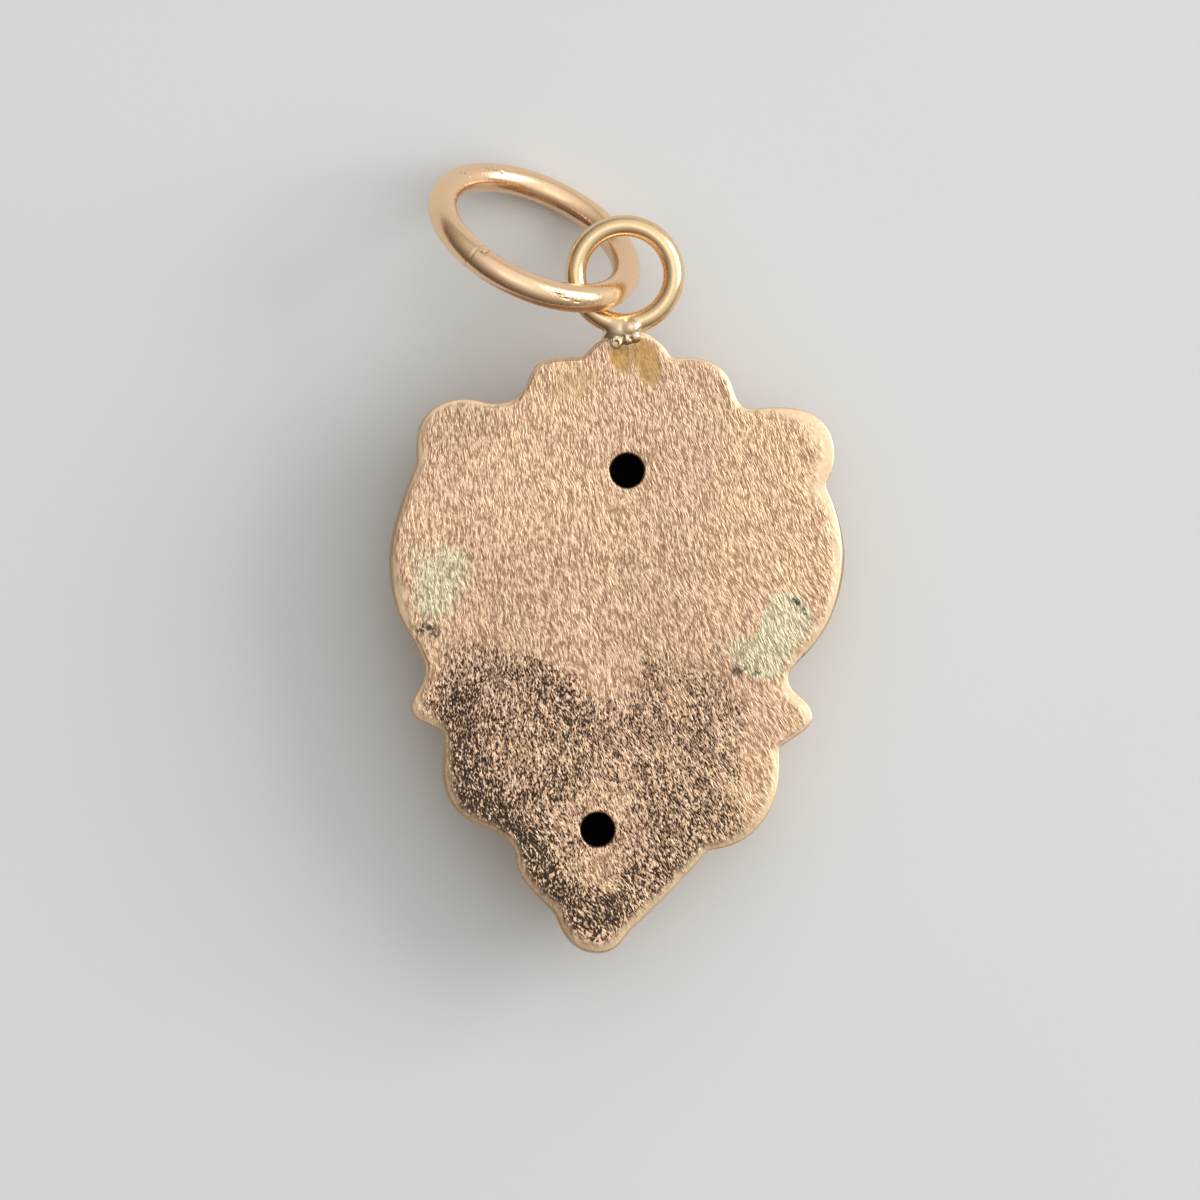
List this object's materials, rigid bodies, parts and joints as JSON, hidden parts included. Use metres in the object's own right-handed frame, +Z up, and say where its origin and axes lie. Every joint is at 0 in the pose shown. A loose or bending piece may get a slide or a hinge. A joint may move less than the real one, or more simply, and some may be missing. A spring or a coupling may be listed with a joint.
{
  "type": "lion head pendant",
  "caption": "Hollow gold lion head pendant lying face down, with a flat brushed back, small vent holes, a soldered ring and a loose jump ring.",
  "frame": {"origin": "below the middle of the pendant's box, on the surface that it lies on", "axes": "+Z points up, out of the flat back; +Y runs along the pendant from the tip of the beard to the rings; +X is to the right as the back is seen with the rings at the top"},
  "size_m": [0.016, 0.0276, 0.0071],
  "materials": {
    "brushed_gold": "satin brushed, pale pinkish gold with spots of tarnish",
    "polished_gold": "polished, with light wear"
  },
  "bodies": {
    "root": {"lion_head": "brushed_gold", "jump_ring": "polished_gold"}
  },
  "joints": []
}
